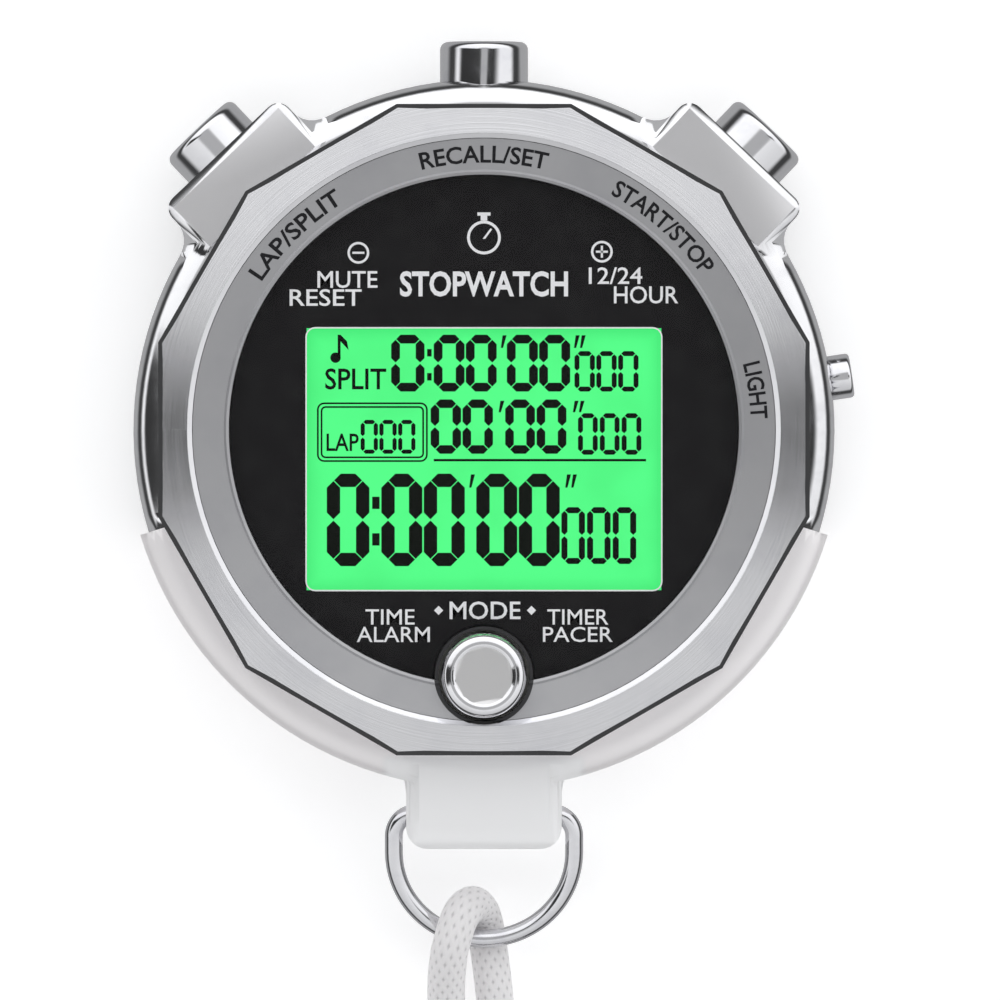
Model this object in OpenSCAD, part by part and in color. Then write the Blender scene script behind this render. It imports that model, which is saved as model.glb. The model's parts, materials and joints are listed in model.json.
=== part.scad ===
// Hand-held digital stopwatch: a metal case lying on its back, face up.
// Origin on the dial axis in the plane the back rests on. +Z is out of the face, +Y is 12 o'clock.

/* [Case] */
// Radius of the polished case rim
case_r = 32.2; // [31.6:0.1:32.6]
// Radius of the satin flank round the lower half
flank_r = 33; // [32.8:0.1:33.6]
// Angle of the lower flank's ends below the horizontal
flank_end = 17; // [12:1:24]
// Radius of the hollow inside the case
cavity_r = 28; // [27.8:0.1:28.2]
// Height of the case's front edge
case_top = 12.8; // [12.6:0.1:13]
// Height of the case's back edge above the resting plane
case_foot = 0.6; // [0.4:0.1:0.8]

/* [Shoulders and lug] */
// Angle of each corner push button from 12 o'clock
corner_angle = 43.5; // [42:0.5:45]
// Width of a shoulder
shoulder_w = 14.7; // [14:0.1:15.4]
// Distance of a shoulder's flat end from the dial axis
shoulder_out = 35.1; // [34.8:0.1:35.4]
// Width of the lug
lug_w = 14.3; // [13.6:0.1:15]
// Distance of the lug's end from the dial axis
lug_out = 38.5; // [38:0.1:39]
// Distance of the ring's bar from the dial axis
bar_y = 35.2; // [34.8:0.1:35.6]
// Height of the ring's bar
bar_z = 7.5; // [7.3:0.1:7.7]

/* [Bezel and dial] */
// Bezel width across its twelve flats
bezel_af = 59.6; // [59:0.1:60.2]
// Height of the bezel's front at its inner edge
bezel_top = 17.6; // [17.4:0.1:17.8]
// Outer radius of the label ring
label_r = 26.65; // [26.5:0.05:26.65]
// Radius of the dial opening
dial_r = 23.3; // [23:0.1:23.4]
// Width of the display window
window_w = 32.5; // [31:0.1:34]
// Height of the display window
window_h = 24; // [23:0.1:25]
// Distance of the display's centre below the dial axis
window_y = 2.7; // [2.4:0.1:3]

/* [Push buttons] */
// Radius of the three big push buttons
cap_r = 4.05; // [3.9:0.05:4.2]
// Top of the 12 o'clock button from the dial axis
recall_out = 35.7; // [35.5:0.1:36]
// Top of a corner button from the dial axis
corner_out = 38.2; // [38:0.1:38.5]
// Stroke of the big push buttons
stroke = 1.2; // [0.8:0.1:1.2]
// Angle of the light button above 3 o'clock
light_angle = 8.5; // [7:0.5:10]
// Radius of the light button
light_r = 2.05; // [1.9:0.05:2.2]
// End of the light button from the dial axis
light_out = 34.2; // [34:0.1:34.5]
// Stroke of the light button
light_stroke = 0.8; // [0.6:0.1:0.8]
// Stroke of the mode button
mode_stroke = 0.8; // [0.5:0.1:0.8]
// Radius of the mode button on the face
mode_r = 3.9; // [3.7:0.1:3.9]
// Distance of the mode button below the dial axis
mode_y = 22.5; // [22.3:0.1:22.7]
// Height of the mode button's rim
mode_top = 18.9; // [18.6:0.1:19.2]

/* [Ring and lanyard] */
// Wire thickness of the ring
wire_d = 1.65; // [1.5:0.05:1.7]
// Width of the ring over its wire
ring_w = 18.25; // [17.8:0.05:18.6]
// Distance from the ring's bar to its far wire
ring_len = 12.1; // [11.8:0.1:12.4]
// Thickness of the lanyard cord
cord_d = 3.5; // [3.3:0.1:3.5]
// Distance of the coil's centre from the dial axis
coil_y = 116; // [115:1:118]

/* [Hidden] */
$fn = 72;
running = 0.06;
half_w = shoulder_w / 2;
half_lug = lug_w / 2;
wire_r = wire_d / 2;
cord_r = cord_d / 2;
bezel_af_r = bezel_af / 2;
bezel_r = bezel_af_r / cos(15);
rim_round = [2.6, 2.2];
flank_z = [2.55, 12.75];
lug_z = [3.7, 11.5];
flank_round = [2.2, 1.5];
bezel_slope = 0.14;
bezel_lip_r = label_r + 0.3;
bezel_rim = bezel_top - bezel_slope * (bezel_af_r - bezel_lip_r);
bezel_edge = 0.45;
frame_top = 14.2;
frame_foot = 10.9;
frame_r = 26.6;
spigot_r = 27.95;
pcb_top = 8.4;
pcb_t = 1;
pcb_r = 23.5;
button_z = 7.8;
stem_r = 1.5;
stem_end = 25.4;
recess_r = 4.5;
collar_r = 4.2;
cover_r = 29.5;
cover_t = 1.7;
seat_z = 2.2;
screw_ring = 25.8;
screw_angles = [25, 115, 205, 295];
post_places = [[19.8, 8], [-19.8, 8], [-19.8, -8], [19.8, -8]];
lcd_size = [36.5, 28];
cell_place = [0, 9.5];
cell_r = 10;
cell_z = [2.6, 5.8];
buzzer_place = [0, -12.5];

// Edge buttons: angle, cap radius, counterbore floor, cap's foot, cap's end, stem radius
big_depth = 6.1;
big_foot = big_depth - stroke - 0.4;
small_depth = 4.9;
small_foot = small_depth - light_stroke - 0.8;
recall_spec = [90, cap_r, recall_out - big_depth, recall_out - big_foot, recall_out, stem_r];
lap_spec =
  [90 + corner_angle, cap_r, corner_out - big_depth, corner_out - big_foot, corner_out, stem_r];
start_spec =
  [90 - corner_angle, cap_r, corner_out - big_depth, corner_out - big_foot, corner_out, stem_r];
light_spec =
  [light_angle, light_r, light_out - small_depth, light_out - small_foot, light_out, 0.9];
edge_specs = [recall_spec, lap_spec, start_spec, light_spec];
mode_foot = frame_top + mode_stroke + 0.2;

// The ring's far wire lies on the cord, so the ring slopes down from its bar
ring_tilt = asin((bar_z - cord_d - wire_r - 0.03) / ring_len);

// The lanyard's bight, from the ferrule over the wire, round it and back under it
bight_route = [
  [-1.9, -66, 1.75], [-2.5, -62, 1.8], [-3.2, -57, 2.8], [-3.5, -52, 4.9], [-3.3, -48.8, 6.6],
  [-2.9, -46.9, 7.15], [-2.3, -45, 6.7], [-1.5, -43.9, 5.2], [-0.75, -43.9, 3.4], [-0.1, -45, 2.1],
  [0.3, -47, 1.75], [0.9, -51.5, 1.75], [1.4, -57, 1.75], [1.8, -62, 1.75], [1.9, -66, 1.75]
];
// The lanyard's leads between the ferrule and the coil
lead_in = [
  [-1.9, -79.5, 1.75], [-2.2, -83, 1.75], [-4.6, -87, 1.75], [-9, -91, 1.75], [-13, -94.8, 1.75],
  [-17, -99, 1.75]
];
lead_out = [
  [1.9, -79.5, 1.75], [2.2, -83, 1.75], [4.6, -87, 2.1], [9, -91, 3.4], [13, -94.8, 4.6],
  [17, -99, 5]
];
ferrule_y = [-67.2, -79.5];
coil_mean = 18.75;
coil_half = 7;
coil_h = 6.75;

// Points on an arc about a centre
function arc(c, r, a0, a1, n) =
  [for (i = [0:n]) let (a = a0 + (a1 - a0) * i / n) c + r * [cos(a), sin(a)]];

// The same, with its own radius each way
function oval(c, r, a0, a1, n) =
  [for (p = arc([0, 0], 1, a0, a1, n)) [c[0] + r[0] * p[0], c[1] + r[1] * p[1]]];

function unit(v) = v / norm(v);

// A smooth curve through the points of a route, two steps to a stretch
function spline_at(p, i, t) =
  let (a = p[max(i - 1, 0)], b = p[i], c = p[i + 1], d = p[min(i + 2, len(p) - 1)])
  0.5 * (2 * b + (c - a) * t + (2 * a - 5 * b + 4 * c - d) * t * t
         + (3 * b - a - 3 * c + d) * t * t * t);
function smooth(p, steps = 2) =
  [for (i = [0:len(p) - 2], s = [0:steps - 1]) spline_at(p, i, s / steps), p[len(p) - 1]];

function heading(p, i) = unit(p[min(i + 1, len(p) - 1)] - p[max(i - 1, 0)]);

// Puts its child at an angle round the case, its +Z pointing outwards
module at_edge(angle) {
  translate([0, 0, button_z]) rotate([0, 0, angle]) rotate([0, 90, 0]) children();
}

// A closed tube along a path; ref is never in line with the path
module tube(path, r, ref, sides = 8) {
  n = len(path);
  points = [for (i = [0:n - 1], k = [0:sides - 1])
    let (t = heading(path, i), u = unit(ref - (ref * t) * t), v = cross(t, u), a = 360 * k / sides)
    path[i] + r * (cos(a) * u + sin(a) * v)];
  walls = [for (i = [0:n - 2], k = [0:sides - 1])
    let (a = i * sides + k, b = i * sides + (k + 1) % sides)
    each [[a + sides, b + sides, b], [a + sides, b, a]]];
  near_cap = [for (k = [0:sides - 1]) k];
  far_cap = [for (k = [sides - 1:-1:0]) (n - 1) * sides + k];
  polyhedron(points, concat(walls, [near_cap, far_cap]), convexity = 6);
}

// A compression spring along +Z with closed ends
module coil_spring(foot, top, mean_r, wire, turns) {
  steps = 14;
  low = foot + wire / 2 + 0.02;
  high = top - wire / 2 - 0.02;
  count = steps * turns;
  path = [for (i = [0:count])
    let (f = i / count, a = 360 * turns * f, rise = f < 0.15 ? 0 : f > 0.85 ? 1 : (f - 0.15) / 0.7)
    [mean_r * cos(a), mean_r * sin(a),
     low + wire * 1.05 * (min(f, 0.15) + max(f - 0.85, 0)) / 0.15
     + rise * (high - low - 2.1 * wire)]];
  tube(path, wire / 2, [0, 0, 1], 6);
}

// ---- fixed pieces ----

// One side of a shoulder or lug flowing into the round case as a hollow curve
module flare(half, r, side) {
  fx = half + r;
  fy = sqrt(pow(case_r + r, 2) - fx * fx);
  a0 = atan2(-fy, -fx) + 4;
  polygon([for (p = concat(arc([fx, fy], r, a0 + 360, 180, 6), [[half - 1, fy], [half - 1, fy - r - 3]],
    [[fx, fy] * (case_r - 1.5) / (case_r + r)])) [p[0] * side, p[1]]]);
}

module block_outline(half, from, out, corner) {
  polygon(concat([[-half, from], [half, from]],
    arc([half - corner, out - corner], corner, 0, 90, 6),
    arc([corner - half, out - corner], corner, 90, 180, 6)));
}

// A block standing out of the case along +Y, its outer edges broken by one flat or eased in steps
module edge_block(half, out, corner, z, edge, steps) {
  low = z[0] + edge;
  high = z[1] - edge;
  intersection() {
    translate([0, 0, z[0]]) linear_extrude(z[1] - z[0]) block_outline(half, 29.5, out, corner);
    rotate([90, 0, 90]) translate([0, 0, -half - 1]) linear_extrude(2 * half + 2)
      polygon(concat([[29, z[1]], [29, z[0]]], arc([out - edge, low], edge, -90, 0, steps),
                     arc([out - edge, high], edge, 0, 90, steps)));
    translate([0, out + 1, 0]) rotate([90, 0, 0]) linear_extrude(out - 28)
      polygon(concat(arc([half - edge, low], edge, -90, 0, steps),
                     arc([half - edge, high], edge, 0, 90, steps),
                     arc([edge - half, high], edge, 90, 180, steps),
                     arc([edge - half, low], edge, 180, 270, steps)));
  }
  for (side = [-1, 1])
    translate([0, 0, z[0] + edge]) linear_extrude(z[1] - z[0] - 2 * edge) flare(half, 2.4, side);
}

// The lug's top face running up over the flank to the bezel
module lug_root() {
  wide = half_lug - 1.2;
  hull() {
    translate([-wide, 30, flank_z[0] + 6]) cube([2 * wide, 0.9, flank_z[1] - flank_z[0] - 6.05]);
    translate([-wide, 30, flank_z[0] + 6]) cube([2 * wide, 6.5, lug_z[1] - flank_z[0] - 6.03]);
    translate([-half_lug, 30, flank_z[0] + 6]) cube([2 * half_lug, 5.5, 1]);
  }
}

module case_profile() {
  polygon([
    [cavity_r, case_top], [cavity_r, seat_z], [cover_r + 0.1, seat_z], [cover_r + 0.1, case_foot],
    each arc([case_r - 2, case_foot + 2], 2, -86, 0, 6),
    each oval([case_r - rim_round[0], case_top - rim_round[1]], rim_round, 0, 87, 9)
  ]);
}

module flank_profile() {
  polygon([
    [30, flank_z[1]], [30, flank_z[0]],
    each arc([flank_r - 0.7, flank_z[0] + 0.7], 0.7, -90, 0, 4),
    each oval([flank_r - flank_round[0], flank_z[1] - flank_round[1]], flank_round, 0, 90, 9)
  ]);
}

module button_bore(spec) {
  at_edge(spec[0]) {
    translate([0, 0, spec[2]]) cylinder(r = spec[1] + running, h = 12);
    translate([0, 0, cavity_r - 2]) cylinder(r = spec[5] + running, h = 8);
  }
}

module case_body() {
  color([0.78, 0.78, 0.8]) difference() {
    union() {
      rotate_extrude() case_profile();
      rotate([0, 0, 180 + flank_end]) rotate_extrude(angle = 180 - 2 * flank_end) flank_profile();
      difference() {
        union() {
          for (side = [-1, 1])
            rotate([0, 0, side * corner_angle])
              edge_block(half_w, shoulder_out, 1.3, [2.6, case_top], 0.75, 1);
          rotate([0, 0, 180]) {
            edge_block(half_lug, lug_out, 2, lug_z, 1.2, 5);
            lug_root();
          }
        }
        translate([0, 0, 1]) cylinder(r = cavity_r, h = 14);
      }
      for (a = screw_angles)
        rotate([0, 0, a]) translate([screw_ring, 0, seat_z]) cylinder(r = 2.4, h = 4.4);
    }
    for (s = edge_specs) button_bore(s);
    for (a = screw_angles)
      rotate([0, 0, a]) translate([screw_ring, 0, seat_z - 1]) cylinder(r = 0.85, h = 4.6);
    translate([-10, -bar_y, bar_z]) rotate([0, 90, 0]) cylinder(r = wire_r + running, h = 20);
    for (side = [-1, 1])
      translate([side * (half_lug - 1.3 + 2), -bar_y, bar_z]) rotate([0, 90, 0])
        cylinder(r = wire_r + 0.4, h = 4, center = true);
  }
}

module bezel() {
  color([0.8, 0.8, 0.82]) difference() {
    union() {
      intersection() {
        translate([0, 0, case_top]) rotate([0, 0, 15]) cylinder(r = bezel_r, h = 6, $fn = 12);
        rotate_extrude() polygon([
          [0, case_top], [bezel_r + 1, case_top],
          [bezel_r + 1, bezel_top - bezel_slope * (bezel_r + 1 - bezel_lip_r)],
          [bezel_lip_r + 0.2, bezel_top - 0.02], [bezel_lip_r - 0.3, bezel_top - 0.42], [0, bezel_top - 0.42]
        ]);
      }
      translate([0, 0, frame_foot + 0.1]) cylinder(r = spigot_r, h = 2.5);
    }
    for (k = [0:11])
      rotate([0, 0, 30 * k]) translate([bezel_af_r, 0, bezel_rim]) rotate([0, 45, 0])
        cube([bezel_edge * sqrt(2), 20, bezel_edge * sqrt(2)], center = true);
    translate([0, 0, frame_foot - 1]) cylinder(r = frame_r + 0.3, h = frame_top + 1.1 - frame_foot);
    translate([0, 0, frame_top]) cylinder(r = label_r + 0.05, h = 6);
    translate([0, -mode_y, frame_top - 0.1]) cylinder(r = recess_r + 0.05, h = 6);
  }
}

module label_ring() {
  color([0.64, 0.64, 0.66]) difference() {
    union() {
      rotate_extrude() polygon([
        [dial_r + 0.05, frame_top], [label_r, frame_top], [label_r, 17], [dial_r + 0.5, 16.5],
        [dial_r + 0.3, 16.65], [dial_r + 0.05, 16.5]
      ]);
      translate([0, -mode_y, frame_top]) cylinder(r = recess_r, h = 2.2);
    }
    translate([0, -mode_y, frame_top - 1]) cylinder(r = collar_r, h = 6);
  }
}

module dial_disc(z, h) {
  difference() {
    translate([0, 0, z]) cylinder(r = dial_r, h = h);
    translate([0, -mode_y, z - 1]) cylinder(r = recess_r + 0.05, h = h + 2);
  }
}

module lens() {
  color([0.85, 0.87, 0.9, 0.35]) dial_disc(15, 1.2);
}

module dial_mask() {
  color([0.08, 0.08, 0.09]) difference() {
    dial_disc(frame_top, 0.8);
    translate([-window_w / 2, -window_y - window_h / 2, frame_top - 1]) cube([window_w, window_h, 3]);
  }
}

module lcd_panel() {
  color([0.3, 0.97, 0.5]) translate([-lcd_size[0] / 2, -window_y - lcd_size[1] / 2, 12.3])
    cube([lcd_size[0], lcd_size[1], 1.9]);
}

module backlight() {
  color([0.85, 1, 0.9]) {
    translate([-16.9, -13.9, 10.8]) cube([33.8, 22.4, 1.5]);
    for (x = [-14, 13]) translate([x, -3.5, pcb_top]) cube([1, 1.6, 2.6]);
  }
}

module zebra(y) {
  color([0.75, 0.4, 0.5]) translate([-16.5, y - 0.9, pcb_top]) cube([33, 1.8, 12.3 - pcb_top]);
}

module zebra_upper() { zebra(9.9); }

module zebra_lower() { zebra(-15.3); }

module movement_frame() {
  color([0.9, 0.9, 0.88]) difference() {
    union() {
      translate([0, 0, frame_foot]) cylinder(r = frame_r, h = frame_top - frame_foot);
      for (p = post_places) translate([p[0], p[1], pcb_top]) cylinder(r = 1.6, h = 3);
    }
    translate([-lcd_size[0] / 2 - 0.1, -window_y - lcd_size[1] / 2 - 0.1, 12.3])
      cube([lcd_size[0] + 0.2, lcd_size[1] + 0.2, 4]);
    translate([-17.1, -16.6, frame_foot - 1]) cube([34.2, 27.8, 4]);
    translate([0, -mode_y, frame_foot - 1]) cylinder(r = 1.2 + running, h = 6);
    for (p = post_places) translate([p[0], p[1], pcb_top - 1]) cylinder(r = 0.6, h = 4);
  }
}

module pcb() {
  color([0.1, 0.4, 0.2]) translate([0, 0, pcb_top - pcb_t]) difference() {
    cylinder(r = pcb_r, h = pcb_t);
    for (p = post_places) translate([p[0], p[1], -1]) cylinder(r = 0.8, h = 4);
  }
}

module pcb_screws() {
  color([0.75, 0.75, 0.78]) for (p = post_places) translate([p[0], p[1], 0]) difference() {
    union() {
      translate([0, 0, pcb_top - pcb_t - 0.9]) cylinder(r = 1.4, h = 0.9);
      translate([0, 0, pcb_top - pcb_t - 0.1]) cylinder(r = 0.6, h = 3.6);
    }
    for (a = [0, 90])
      rotate([0, 0, a]) translate([-1, -0.15, pcb_top - pcb_t - 1]) cube([2, 0.3, 0.5]);
  }
}

module ic_blob() {
  color([0.06, 0.06, 0.07]) translate([0, -2.5, 0]) rotate_extrude()
    polygon([[0, 6.4], [1.6, 6.5], [2.9, 6.8], [3.6, pcb_top - pcb_t], [0, pcb_top - pcb_t]]);
}

module crystal_can() {
  color([0.8, 0.8, 0.82]) translate([14, -9, pcb_top - pcb_t - 1]) rotate([0, 90, 90])
    cylinder(r = 1, h = 6);
}

module smd_parts() {
  color([0.6, 0.5, 0.35])
    for (p = [[-14, -8], [-11.5, -11], [8, -15], [12.5, 2.5], [-14, 2.5], [-8, -16]])
      translate([p[0], p[1], pcb_top - pcb_t - 0.7]) cube([1.8, 1, 0.7]);
}

module leaf(angle, w) {
  rotate([0, 0, angle]) {
    translate([21.6, -w / 2, pcb_top]) cube([2.2, w, 0.25]);
    translate([23.55, -w / 2, 6.2]) cube([0.25, w, 2.4]);
  }
}

module switch_leaves() {
  color([0.85, 0.7, 0.35]) {
    for (s = [recall_spec, lap_spec, start_spec]) leaf(s[0], 3);
    leaf(light_angle, 1.8);
  }
}

module mode_dome() {
  color([0.8, 0.8, 0.82]) translate([0, -22.2, pcb_top]) cylinder(r1 = 1, r2 = 0.6, h = 0.35);
}

module battery() {
  color([0.8, 0.8, 0.83]) translate([cell_place[0], cell_place[1], cell_z[0]]) {
    translate([0, 0, 0.5]) cylinder(r = cell_r, h = cell_z[1] - cell_z[0] - 0.5);
    cylinder(r = 8.4, h = 0.6);
  }
}

module battery_strap() {
  color([0.85, 0.85, 0.87]) translate([cell_place[0], cell_place[1], 0]) {
    translate([-11.5, -2, cell_z[1]]) cube([23, 4, 0.3]);
    for (x = [-11.5, 11.2]) translate([x, -2, cell_z[1]]) cube([0.3, 4, pcb_top - pcb_t - cell_z[1]]);
  }
}

module battery_contact() {
  color([0.85, 0.7, 0.35]) translate([cell_place[0], cell_place[1], cover_t]) {
    cylinder(r = 6, h = 0.2);
    cylinder(r = 2, h = cell_z[0] - cover_t);
  }
}

module buzzer() {
  color([0.85, 0.7, 0.35]) translate([buzzer_place[0], buzzer_place[1], cover_t]) {
    cylinder(r = 7, h = 0.3);
    cylinder(r = 4.6, h = 0.5);
  }
}

module buzzer_spring() {
  color([0.8, 0.8, 0.82]) translate([buzzer_place[0], buzzer_place[1] - 2, 0])
    coil_spring(cover_t + 0.5, pcb_top - pcb_t, 1.3, 0.4, 4);
}

module back_gasket() {
  color([0.1, 0.1, 0.1]) rotate_extrude()
    polygon([[28.2, cover_t], [29.3, cover_t], [29.3, seat_z], [28.2, seat_z]]);
}

module back_cover() {
  color([0.75, 0.75, 0.77]) difference() {
    rotate_extrude() polygon([
      [0, 0], [cover_r - 0.4, 0], [cover_r, 0.4], [cover_r, cover_t], [0, cover_t]
    ]);
    for (a = screw_angles) rotate([0, 0, a]) translate([screw_ring, 0, 0]) {
      translate([0, 0, -1]) cylinder(r = 0.9, h = 4);
      translate([0, 0, -0.01]) cylinder(r1 = 1.95, r2 = 0.9, h = 1.06);
    }
    rotate_extrude() polygon([[20, -1], [20.6, -1], [20.6, 0.25], [20, 0.25]]);
  }
}

module back_screws() {
  color([0.7, 0.7, 0.72]) for (a = screw_angles) rotate([0, 0, a]) translate([screw_ring, 0, 0])
    difference() {
      union() {
        translate([0, 0, 0.15]) cylinder(r1 = 1.75, r2 = 0.8, h = 0.95);
        translate([0, 0, 0.8]) cylinder(r = 0.8, h = 4.7);
      }
      for (b = [0, 90]) rotate([0, 0, b]) translate([-1.1, -0.2, -0.4]) cube([2.2, 0.4, 1]);
    }
}

// ---- edge push buttons ----

// Cap, stem and clip groove, along +Z from the dial axis
module edge_button(spec, hollow) {
  r = spec[1];
  stem = spec[5];
  out = spec[4];
  soft = r * 0.18;
  color([0.8, 0.8, 0.82]) at_edge(spec[0]) rotate_extrude() polygon(concat(
    [[0, stem_end], [stem, stem_end], [stem, 27], [stem - 0.5, 27], [stem - 0.5, 27.6], [stem, 27.6],
     [stem, spec[3]]],
    hollow ? [[1.75, spec[3]], [1.75, out - 1.3], [3.1, out - 1.3], [3.1, spec[3]]] : [],
    [[r, spec[3]]],
    arc([r - soft, out - soft], soft, 0, 90, 8),
    [[0, out]]));
}

// Open ring clip that holds a stem in the case
module edge_clip(spec, clip_r) {
  inner = spec[5] - 0.48;
  color([0.6, 0.6, 0.63]) at_edge(spec[0]) translate([0, 0, 27.05]) difference() {
    cylinder(r = clip_r, h = 0.5);
    translate([0, 0, -1]) cylinder(r = inner, h = 3);
    translate([0, -inner * 0.8, -1]) cube([5, inner * 1.6, 3]);
  }
}

module edge_spring(spec, top, mean_r, wire, turns) {
  color([0.7, 0.7, 0.73]) at_edge(spec[0]) coil_spring(spec[2], top, mean_r, wire, turns);
}

module recall_button() { edge_button(recall_spec, true); }

module recall_clip() { edge_clip(recall_spec, 2.2); }

module recall_spring() { edge_spring(recall_spec, recall_out - 1.3, 2.4, 0.35, 5); }

module lap_button() { edge_button(lap_spec, true); }

module lap_clip() { edge_clip(lap_spec, 2.2); }

module lap_spring() { edge_spring(lap_spec, corner_out - 1.3, 2.4, 0.35, 5); }

module start_button() { edge_button(start_spec, true); }

module start_clip() { edge_clip(start_spec, 2.2); }

module start_spring() { edge_spring(start_spec, corner_out - 1.3, 2.4, 0.35, 5); }

module light_button() { edge_button(light_spec, false); }

module light_clip() { edge_clip(light_spec, 1.6); }

module light_spring() { edge_spring(light_spec, light_out - 3.3, 1.5, 0.25, 3); }

// ---- mode button on the face ----

module mode_button() {
  color([0.8, 0.8, 0.82]) translate([0, -mode_y, 0]) rotate_extrude() polygon(concat(
    [[0, 9.9], [1.2, 9.9], [1.2, 10.1], [0.8, 10.1], [0.8, 10.6], [1.2, 10.6],
     [1.2, mode_foot], [1.5, mode_foot], [1.5, mode_top - 0.9], [2.9, mode_top - 0.9],
     [2.9, mode_foot], [mode_r, mode_foot]],
    arc([mode_r - 0.9, mode_top - 0.9], 0.9, 0, 90, 8),
    [[2.7, mode_top], [2.6, mode_top - 0.15], [0, mode_top - 0.15]]));
}

module mode_clip() {
  color([0.6, 0.6, 0.63]) translate([0, -mode_y, 10.12]) difference() {
    cylinder(r = 1.9, h = 0.46);
    translate([0, 0, -1]) cylinder(r = 0.82, h = 3);
    translate([-0.65, 0, -1]) cube([1.3, 5, 3]);
  }
}

module mode_spring() {
  color([0.7, 0.7, 0.73]) translate([0, -mode_y, 0])
    coil_spring(frame_top, mode_top - 0.9, 2.2, 0.3, 5);
}

// ---- ring and lanyard ----

// Wire ring in its own plane: the bar on the X axis, the loop towards -Y
module d_ring() {
  side = ring_w / 2 - wire_r;
  bend = 2.2;
  leg_end = ring_len - side;
  color([0.8, 0.8, 0.82]) translate([0, -bar_y, bar_z]) rotate([ring_tilt, 0, 0]) {
    translate([bend - side, 0, 0]) rotate([0, 90, 0]) cylinder(r = wire_r, h = 2 * (side - bend));
    for (m = [0, 1]) mirror([m, 0, 0]) {
      translate([side - bend, -bend, 0]) rotate_extrude(angle = 90)
        translate([bend, 0]) circle(r = wire_r);
      translate([side, -leg_end, 0]) rotate([-90, 0, 0])
        cylinder(r = wire_r, h = leg_end - bend);
    }
    translate([0, -leg_end, 0]) rotate([0, 0, 180]) rotate_extrude(angle = 180)
      translate([side, 0]) circle(r = wire_r);
  }
}

module lanyard_bight() {
  color([0.87, 0.87, 0.86]) tube(smooth(bight_route), cord_r, [1, 0, 0]);
}

module lanyard_ferrule() {
  color([0.75, 0.75, 0.78]) translate([0, ferrule_y[0], 0]) rotate([90, 0, 0])
    linear_extrude(ferrule_y[0] - ferrule_y[1])
    polygon(concat(arc([2, 2.2], 2.2, -90, 90, 8), arc([-2, 2.2], 2.2, 90, 270, 8)));
}

module lanyard_leads() {
  color([0.87, 0.87, 0.86]) {
    tube(smooth(lead_in), cord_r, [0, 0, 1]);
    tube(smooth(lead_out), cord_r, [0, 0, 1]);
  }
}

module lanyard_coil() {
  color([0.87, 0.87, 0.86]) translate([0, -coil_y, 0]) rotate_extrude()
    polygon([
      [coil_mean - coil_half, 0.8], [coil_mean - coil_half + 0.8, 0],
      [coil_mean + coil_half - 0.8, 0], [coil_mean + coil_half, 0.8],
      [coil_mean + coil_half, coil_h - 0.8], [coil_mean + coil_half - 0.8, coil_h],
      [coil_mean - coil_half + 0.8, coil_h], [coil_mean - coil_half, coil_h - 0.8]
    ]);
}

module coil_tie() {
  color([0.15, 0.15, 0.16]) translate([-2.5, -coil_y - coil_mean, 0]) rotate([90, 0, 90])
    linear_extrude(5) difference() {
      translate([-coil_half - 0.6, 0]) square([2 * coil_half + 1.2, coil_h + 0.6]);
      translate([-coil_half, 0.3]) square([2 * coil_half, coil_h - 0.3]);
    }
}

case_body();
bezel();
label_ring();
lens();
dial_mask();
lcd_panel();
backlight();
zebra_upper();
zebra_lower();
movement_frame();
pcb();
pcb_screws();
ic_blob();
crystal_can();
smd_parts();
switch_leaves();
mode_dome();
battery();
battery_strap();
battery_contact();
buzzer();
buzzer_spring();
back_gasket();
back_cover();
back_screws();
recall_button();
recall_clip();
recall_spring();
lap_button();
lap_clip();
lap_spring();
start_button();
start_clip();
start_spring();
light_button();
light_clip();
light_spring();
mode_button();
mode_clip();
mode_spring();
d_ring();
lanyard_bight();
lanyard_ferrule();
lanyard_leads();
lanyard_coil();
coil_tie();
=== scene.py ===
import json
import math
import bmesh
import bpy
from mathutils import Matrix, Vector


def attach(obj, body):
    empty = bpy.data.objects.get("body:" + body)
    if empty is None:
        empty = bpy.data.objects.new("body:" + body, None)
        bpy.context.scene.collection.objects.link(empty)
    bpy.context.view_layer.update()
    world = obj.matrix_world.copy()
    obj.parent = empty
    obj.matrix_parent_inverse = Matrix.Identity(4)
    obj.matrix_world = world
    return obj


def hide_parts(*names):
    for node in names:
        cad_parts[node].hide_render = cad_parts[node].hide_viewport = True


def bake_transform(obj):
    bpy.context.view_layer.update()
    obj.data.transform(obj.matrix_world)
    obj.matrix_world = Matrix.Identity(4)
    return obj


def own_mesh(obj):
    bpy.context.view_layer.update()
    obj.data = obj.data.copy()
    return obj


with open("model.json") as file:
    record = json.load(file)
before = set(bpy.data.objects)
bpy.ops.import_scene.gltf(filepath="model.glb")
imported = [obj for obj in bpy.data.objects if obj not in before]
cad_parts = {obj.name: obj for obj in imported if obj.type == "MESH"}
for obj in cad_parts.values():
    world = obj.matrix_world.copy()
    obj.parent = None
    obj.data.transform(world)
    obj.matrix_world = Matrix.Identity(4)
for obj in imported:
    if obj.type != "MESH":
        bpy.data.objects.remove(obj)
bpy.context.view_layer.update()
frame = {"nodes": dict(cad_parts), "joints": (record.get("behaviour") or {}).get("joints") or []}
nodes = frame["nodes"]
mm = 0.001
scene = bpy.context.scene
print("frame loaded:", len(nodes), "nodes")


# ---- shader helpers ----

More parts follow.
